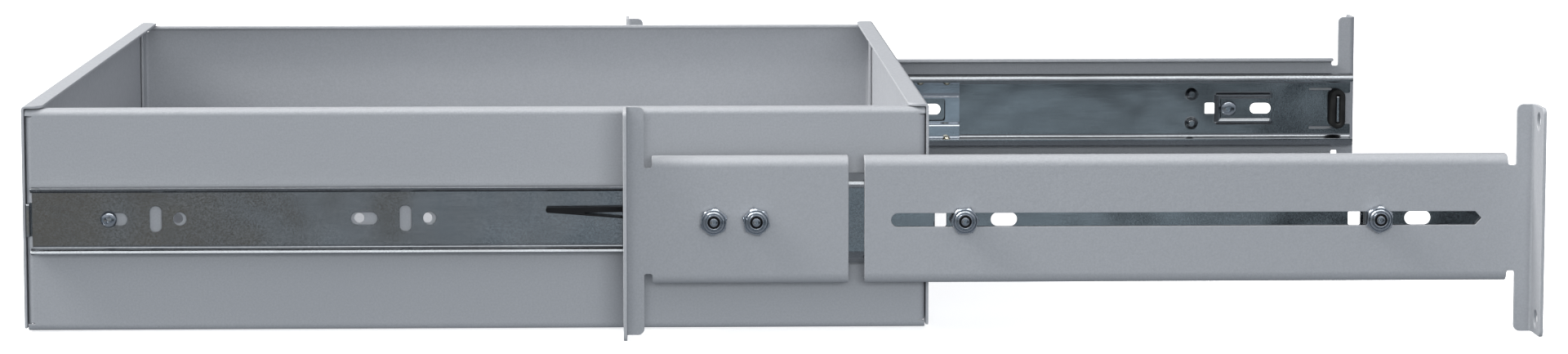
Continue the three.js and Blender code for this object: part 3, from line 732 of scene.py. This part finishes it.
ball_steel = make_ball_steel()
BALL_RISE, BALL_DEPTH, BALL_PITCH, BALLS_IN_ROW = 14.15, 5, 12.7, 12
CAGE_SHEET = 0.7
CAGE_ENDS = [edge.x / MM - EAR_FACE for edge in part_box("ball_cage_right")]
BALL_START = CAGE_ENDS[1] - 6.5 - BALL_PITCH * (BALLS_IN_ROW - 1)


def make_cage():
    front, rear = CAGE_ENDS
    bend, web, lip_depth, groove_rise, groove_depth = 1.6, 8.6, 3.2, 7, 0.4
    section, lines, reach = pen((web, 0), 90, BALL_RISE - bend, (bend, 90), web - bend - lip_depth)
    row = BALL_RISE - bend + math.pi / 2 * bend + web - bend - BALL_DEPTH
    outline = box_outline(front, rear, -reach, reach, 1)
    window = box_outline(front + 7, rear - 7, -5.4, 5.4, 1.5)
    pockets = [round_hole(BALL_START + i * BALL_PITCH, rise, 1.5, 20)
               for i in range(BALLS_IN_ROW) for rise in both_halves([row])]
    bm = blank(outline, [window, *pockets], CAGE_SHEET, 0.1)
    groove = [groove_rise + step * 0.2 for step in range(-6, 7)]
    cut_lines(bm, both_halves(lines + groove), 1)

    def relief(u, s):
        return -groove_depth * smooth_step(1.1 - abs(abs(s) - groove_rise))

    cage_plate = make_zinc_plate("cage_plate", (0.42, 0.45, 0.49), (0.60, 0.63, 0.68))
    return set_down("cage_strip", bm, in_slide(section, [], relief), cage_plate)


def new_piece_tree(name, inputs):
    """A geometry node tree with these named inputs and a material, and what it is given."""
    tree = bpy.data.node_groups.new(name, "GeometryNodeTree")
    for label, kind in {"Geometry": "Geometry", **inputs, "Material": "Material"}.items():
        tree.interface.new_socket(label, in_out="INPUT", socket_type="NodeSocket" + kind)
    tree.interface.new_socket("Geometry", in_out="OUTPUT", socket_type="NodeSocketGeometry")
    return tree, tree.nodes.new("NodeGroupInput").outputs


def finish_tree(tree, instances, material):
    real = add(tree, "GeometryNodeRealizeInstances", {"Geometry": instances}).outputs[0]
    painted = add(tree, "GeometryNodeSetMaterial", {"Geometry": real, "Material": material}).outputs[0]
    tree.links.new(painted, tree.nodes.new("NodeGroupOutput").inputs[0])
    return tree


def ball_rows_tree():
    """Geometry nodes for two straight rows of balls, one each side of a middle line."""
    tree, given = new_piece_tree("ball_rows", {"Balls": "Int", "Pitch": "Float", "Radius": "Float",
                                               "Rise": "Float"})
    step = add(tree, "ShaderNodeCombineXYZ", {"X": given["Pitch"]}).outputs[0]
    row = add(tree, "GeometryNodeMeshLine", {"Count": given["Balls"], "Offset": step}).outputs[0]
    ball = add(tree, "GeometryNodeMeshIcoSphere", {"Radius": given["Radius"], "Subdivisions": 4}).outputs[0]
    ball = add(tree, "GeometryNodeSetShadeSmooth", {"Geometry": ball}).outputs[0]
    rows = tree.nodes.new("GeometryNodeJoinGeometry")
    for direction in (-1, 1):
        rise = multiply(tree, given["Rise"], direction)
        lift = add(tree, "ShaderNodeCombineXYZ", {"Z": rise}).outputs[0]
        moved = add(tree, "GeometryNodeTransform", {"Geometry": row, "Translation": lift}).outputs[0]
        tree.links.new(moved, rows.inputs[0])
    balls = add(tree, "GeometryNodeInstanceOnPoints", {"Points": rows.outputs[0], "Instance": ball})
    return finish_tree(tree, balls.outputs[0], given["Material"])


def grown(name, points, tree, values):
    """A plain mesh piece from a node tree run on some points, with its named inputs set."""
    seed = bpy.data.meshes.new(name + "_seed")
    seed.from_pydata([tuple(point) for point in points], [], [])
    maker = in_scene(name + "_maker", seed)
    modifier = maker.modifiers.new("nodes", "NODES")
    modifier.node_group = tree
    for item in tree.interface.items_tree:
        if item.in_out == "INPUT" and item.name in values:
            modifier[item.identifier] = values[item.name]
    bpy.context.view_layer.update()
    evaluated = maker.evaluated_get(bpy.context.evaluated_depsgraph_get())
    mesh = bpy.data.meshes.new_from_object(evaluated)
    bpy.data.objects.remove(maker)
    mesh.name = name
    return in_scene(name, mesh)


both_sides(make_cage(), "cage_{}", "ball_cage_{}")
balls = grown("cage_balls", [(0, 0, 0)], ball_rows_tree(),
              {"Balls": BALLS_IN_ROW, "Pitch": BALL_PITCH * MM, "Radius": 2 * MM, "Rise": BALL_RISE * MM,
               "Material": ball_steel})
balls.data.transform(Matrix.Translation(to_frame((BALL_START, -SLIDE_BACK - BALL_DEPTH, MID))))
both_sides(balls, "cage_{}", "ball_cage_{}")

# ---- Disconnect levers ------------------------------------------------------------------------------------
# A black moulded lever, riveted to each inner member, is pressed to let the drawer come right out. It is a
# long wedge with a thin springy arm along its lower edge, a round tip, and a short latch behind its boss.
LEVER_BACK, LEVER_THICKNESS = 1.6, 3


def make_black_plastic():
    material, tree, shader = new_material("black_plastic")
    flow, fine = grain(tree, 9, 3, 2), grain(tree, 0.3, 1, 2)
    colour = blend_colours(tree, between(tree, flow, 0, 1), (0.008, 0.008, 0.009), (0.018, 0.018, 0.019))
    wire_up(tree, shader, colour, between(tree, flow, 0.14, 0.26), bumps(tree, fine, 0.12, 0.04))
    shader.inputs["Specular IOR Level"].default_value = 0.15
    return material


black_plastic = make_black_plastic()


def in_slide_plane(middle_depth):
    """Places a flat blank parallel to the slide's web: u along the rack, s up, w towards the rack's side."""
    def place(u, s, w):
        return ((u, -(SLIDE_BACK + middle_depth + w), MID + s), Vector((1, 0, 0)), Vector((0, 0, 1)),
                Vector((0, -1, 0)))
    return place


def make_lever():
    outline = rounded([(-29.9, 4.2, 0.9), (-29.9, 2.3, 0.9), (-0.7, 0, 6), (12.6, -3.1, 3), (19, -3.3, 3),
                       (21.5, -1.2, 1), (30, -1.2, 0.8), (30, 5.2, 0.8), (25.5, 5.2, 1), (18.5, 5.5, 3),
                       (-0.7, 4.5, 12)])
    gap = rounded([(-18.5, 2.15, 0.2), (-0.7, 0.5, 6), (9, -0.3, 0.8), (9, 2.3, 0.8), (-0.7, 2.4, 6)])
    bm = blank(outline, [round_hole(*LEVER_PIVOT, 1.75), gap], LEVER_THICKNESS, 0.3)
    return set_down("press_lever", bm, in_slide_plane(LEVER_BACK + LEVER_THICKNESS / 2), black_plastic)


both_sides(make_lever(), "lever_{}", "disconnect_lever_{}")

# ---- Rubber bumpers ---------------------------------------------------------------------------------------
# An oval rubber ring is pushed over the bent-up tongue at the rear of each outer member, where the drawer
# comes to rest against it.


def make_rubber():
    material, tree, shader = new_material("black_rubber")
    bloom, fine = grain(tree, 5, 1, 3), grain(tree, 0.25, 1, 2)
    colour = blend_colours(tree, between(tree, bloom, 0, 1), (0.010, 0.010, 0.010), (0.026, 0.026, 0.025))
    wire_up(tree, shader, colour, between(tree, bloom, 0.5, 0.7), bumps(tree, fine, 0.3, 0.06))
    shader.inputs["Specular IOR Level"].default_value = 0.3
    return material


def make_bumper():
    low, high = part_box("rubber_bumper_right")
    x0, x1 = low.x / MM - EAR_FACE, high.x / MM - EAR_FACE
    middle, tall, thick = (x0 + x1) / 2, (high.z - low.z) / MM / 2, (high.y - low.y) / MM
    outline = box_outline(x0, x1, -tall, tall, 3.6)
    hole = box_outline(middle - 0.75, middle + 0.75, -6.7, 6.7, 0.5)
    bm = blank(outline, [hole], thick, 1.1)
    return set_down("bumper_ring", bm, in_slide_plane(-SLIDE_BACK - (low.y + high.y) / MM / 2), make_rubber())


both_sides(make_bumper(), "rails", "rubber_bumper_{}")

# ---- Bracket bolts and lock nuts --------------------------------------------------------------------------
# The slide is held to its brackets by four M5 machine screws with low cross-recessed heads, and hexagon
# lock nuts, whose round collar holds a nylon ring. The ring is made black as painted shade for the dark
# gap around the bolt's end. Bolts and nuts are bright zinc plated.
BRACKET_FACE = -SLIDE_BACK - 13.9
NUT_SEAT = BRACKET_FACE - 0.3
CREASE = math.radians(32)


def make_bright_zinc():
    """Clear, bluish plating with a light haze and a few fine marks from the spanner."""
    material, tree, shader = new_material("bright_zinc")
    haze, marks = grain(tree, 1.1, 1, 3), grain(tree, 0.18, 6, 2)
    colour = blend_colours(tree, between(tree, haze, 0, 1), (0.46, 0.50, 0.55), (0.58, 0.61, 0.65))
    wire_up(tree, shader, colour, between(tree, haze, 0.14, 0.24), bumps(tree, marks, 0.12, 0.03), 1)
    return material


bright_zinc = make_bright_zinc()


def turned(name, profile, sides=48, radius_at=None):
    """A turned piece about the Y axis at the origin, in mm. The profile is (radius, y), end to end, with
    both ends on the axis; radius_at(radius, y, angle) can change a radius, as for a hexagon or a thread."""
    bm = bmesh.new()
    rings = []
    for radius, y in profile:
        if radius == 0:
            rings.append([bm.verts.new((0, y, 0))])
            continue
        ring = []
        for k in range(sides):
            angle = 2 * math.pi * k / sides
            r = radius_at(radius, y, angle) if radius_at else radius
            ring.append(bm.verts.new((r * math.cos(angle), y, r * math.sin(angle))))
        rings.append(ring)
    for one, two in zip(rings, rings[1:]):
        for k in range(sides):
            after = k + 1
            corners = [one[k % len(one)], one[after % len(one)], two[after % len(two)], two[k % len(two)]]
            bm.faces.new(list(dict.fromkeys(corners)))
    bmesh.ops.recalc_face_normals(bm, faces=bm.faces)
    mesh = as_mesh(name, bm)
    mesh.shade_smooth()
    mesh.set_sharp_from_angle(angle=CREASE)
    return in_scene(name, mesh)


def cross_recess(piece, y, reach, depth):
    """Cuts a tapered cross into a head whose face is at y; depth is signed into the head."""
    half, taper, proud = reach * 0.26, 0.55, -0.3 * math.copysign(1, depth)
    arm = [Vector(corner) for corner in ((reach, half), (half, half), (half, reach))]
    outline = [Matrix.Rotation(math.pi / 2 * turn, 2) @ corner for turn in range(4) for corner in arm]
    bm = bmesh.new()
    rings = [[bm.verts.new((p.x * size, y + step, p.y * size)) for p in outline]
             for step, size in ((proud, 1), (depth, taper))]
    for i in range(len(outline)):
        bm.faces.new((rings[0][i - 1], rings[0][i], rings[1][i], rings[1][i - 1]))
    for ring in rings:
        bm.faces.new(ring)
    bmesh.ops.recalc_face_normals(bm, faces=bm.faces)
    cutter = in_scene("cross", as_mesh("cross", bm))
    cut = piece.modifiers.new("cross", "BOOLEAN")
    cut.object = cutter
    cut.solver = "EXACT"
    bpy.context.view_layer.update()
    carved = bpy.data.meshes.new_from_object(piece.evaluated_get(bpy.context.evaluated_depsgraph_get()))
    piece.modifiers.clear()
    piece.data = carved
    carved.set_sharp_from_angle(angle=CREASE)
    bpy.data.objects.remove(cutter)


def set_out_tree():
    """Geometry nodes that set a copy of a piece on each point, each turned further about its Y axis."""
    tree, given = new_piece_tree("set_out", {"Piece": "Object", "First Turn": "Float", "Turn Step": "Float",
                                             "Scale": "Float"})
    index = tree.nodes.new("GeometryNodeInputIndex").outputs[0]
    turn = add(tree, "ShaderNodeMath", {0: index, 1: given["Turn Step"], 2: given["First Turn"]},
               operation="MULTIPLY_ADD").outputs[0]
    rotation = add(tree, "ShaderNodeCombineXYZ", {"Y": turn}).outputs[0]
    piece = add(tree, "GeometryNodeObjectInfo", {"Object": given["Piece"]}).outputs["Geometry"]
    copies = add(tree, "GeometryNodeInstanceOnPoints", {"Points": given["Geometry"], "Instance": piece,
                                                        "Rotation": rotation, "Scale": given["Scale"]})
    return finish_tree(tree, copies.outputs[0], given["Material"])


set_out = set_out_tree()


def set_out_along(name, piece, places, y, material, first_turn=0, turn_step=0):
    """One copy of a turned piece at each x in places, with its own y = 0 at y and its axis at mid-height."""
    points = [to_frame((x, y, MID)) for x in places]
    made = grown(name, points, set_out, {"Piece": piece, "First Turn": math.radians(first_turn),
                                         "Turn Step": math.radians(turn_step), "Scale": MM,
                                         "Material": material})
    bpy.data.objects.remove(piece)
    return made


def hexagon(across_flats):
    """Limits a turned radius to a hexagon of that size, for turned()."""
    def radius_at(radius, y, angle):
        wedge = (angle + math.pi / 6) % (math.pi / 3) - math.pi / 6
        return min(radius, across_flats / 2 / math.cos(wedge))
    return radius_at


def thread(pitch, depth, shank_radius, start=math.inf):
    """Winds a thread of that pitch onto the shank, where y is below start, for turned()."""
    def radius_at(radius, y, angle):
        if radius != shank_radius or y > start:
            return radius
        phase = (y / pitch + angle / (2 * math.pi)) % 1
        return radius - depth * (1 - abs(2 * phase - 1))
    return radius_at


def make_lock_nuts():
    body = [(0, -0.02), (4.75, 0), (5.2, -0.28), (5.6, -0.6), (5.6, -3), (5.2, -3.6), (4.8, -3.95)]
    collar = [(4.5, -4.1), (4.25, -3.95), (4.15, -4.3), (4, -4.8), (3.7, -5.1), (3.35, -5.2), (3.2, -4.9)]
    lip = [(3.1, -4.9), (3.02, -5.35), (2.85, -5.62), (2.65, -5.7), (2.45, -5.6), (2.35, -5.3), (2.32, -4.4)]
    nut = turned("nut", [*body, *collar, *lip, (0, -4.4)], 72, hexagon(9.7))
    return set_out_along("lock_nuts", nut, BOLT_PLACES, NUT_SEAT, bright_zinc, first_turn=8, turn_step=39)


# The ring is black as painted shade: it stands in for the shadowed gap between the bolt's end and the nut's
# collar.
def make_lock_rings():
    ring = turned("ring", [(0, -4.3), (2.34, -4.3), (2.34, -4.8), (1.9, -4.95), (0, -4.95)])
    return set_out_along("lock_rings", ring, BOLT_PLACES, NUT_SEAT, black_plastic)


def make_bracket_bolts():
    seat = -SLIDE_BACK - 10.7 - BRACKET_FACE
    end, shank_radius, steps = -6.3, 2.45, 44
    shank = [(shank_radius, seat - 0.3 + (end + 2.2 - seat) * k / steps) for k in range(steps + 1)]
    head = [(0, seat + 1.5), (1.4, seat + 1.47), (2.6, seat + 1.3), (3.4, seat + 0.9), (3.8, seat + 0.45),
            (3.85, seat + 0.1), (3.7, seat)]
    tip = [(1.85, end + 1.5), (1.7, end + 0.5), (1.55, end + 0.12), (1.35, end), (0.5, end),
           (0.35, end + 0.3), (0, end + 0.35)]
    bolt = turned("bolt", head + shank + tip, 40, thread(0.8, 0.32, shank_radius, seat - 0.5))
    cross_recess(bolt, seat + 1.5, 1.7, -1.1)
    return set_out_along("bracket_bolts", bolt, BOLT_PLACES, BRACKET_FACE, bright_zinc,
                         first_turn=20, turn_step=33)


both_sides(make_lock_nuts(), "rails", "lock_nut_{}_1")
both_sides(make_lock_rings(), "rails", "lock_nut_{}_1")
both_sides(make_bracket_bolts(), "rails", "bracket_bolt_{}_1")
for side in SIDES:
    for i in range(2, 5):
        for name in ("lock_nuts_", "lock_rings_"):
            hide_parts(f"lock_nut_{side}_{i}")
        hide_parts(f"bracket_bolt_{side}_{i}")

# ---- Drawer screws, their nuts and the lever rivets -------------------------------------------------------
# Each inner member is held to the drawer's side by two pan-head screws with nuts inside the drawer. The
# lever turns on a domed rivet.
DRAWER_SCREW_PLACES = [HOLE_GROUPS[i] - 2 for i in (0, 2)]


def make_drawer_screws():
    seat, shank_radius, length, steps = -1.5, 1.5, 7.2, 40
    shank = [(shank_radius, seat + 0.2 + length * k / steps) for k in range(steps + 1)]
    head = [(0, seat - 2.1), (1.0, seat - 2.07), (1.9, seat - 1.9), (2.6, seat - 1.55), (3.05, seat - 1.0),
            (3.25, seat - 0.35), (3.2, seat - 0.05), (3.05, seat)]
    tip = [(1.1, 6), (0, 6)]
    screw = turned("screw", head + shank + tip, 40, thread(0.6, 0.2, shank_radius))
    cross_recess(screw, seat - 2.1, 1.75, 1.3)
    return set_out_along("drawer_screws", screw, DRAWER_SCREW_PLACES, -SLIDE_BACK, bright_zinc,
                         first_turn=25, turn_step=20)


def make_drawer_nuts():
    face = 0.3 + SHEET + 0.3
    profile = [(0, face), (2.9, face), (3.2, face + 0.2), (3.45, face + 0.35), (3.45, face + 2.2),
               (3.2, face + 2.45), (2.9, face + 2.6), (1.8, face + 2.6), (1.6, face + 2.3), (0, face + 2.3)]
    nut = turned("small_nut", profile, 72, hexagon(5.9))
    return set_out_along("drawer_nuts", nut, DRAWER_SCREW_PLACES, -SLIDE_BACK, bright_zinc,
                         first_turn=12, turn_step=31)


def make_rivets():
    profile = [(0, -0.1), (1.4, -0.1), (1.4, -4.85), (3.0, -4.9), (3.1, -5.05), (2.95, -5.4), (2.4, -5.8),
               (1.6, -6.02), (0.8, -6.08), (0, -6.1)]
    rivet = turned("rivet", profile, 48)
    made = set_out_along("lever_rivets", rivet, [LEVER_PIVOT[0]], -SLIDE_BACK, bright_zinc)
    made.data.transform(Matrix.Translation((0, 0, LEVER_PIVOT[1] * MM)))
    return made


both_sides(make_drawer_screws(), "drawer", "drawer_screw_{}_front")
both_sides(make_drawer_nuts(), "drawer", "drawer_nut_{}_front")
both_sides(make_rivets(), "drawer", "lever_rivet_{}")
for side in SIDES:
    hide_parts(f"drawer_screw_{side}_rear")
    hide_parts(f"drawer_nut_{side}_rear")
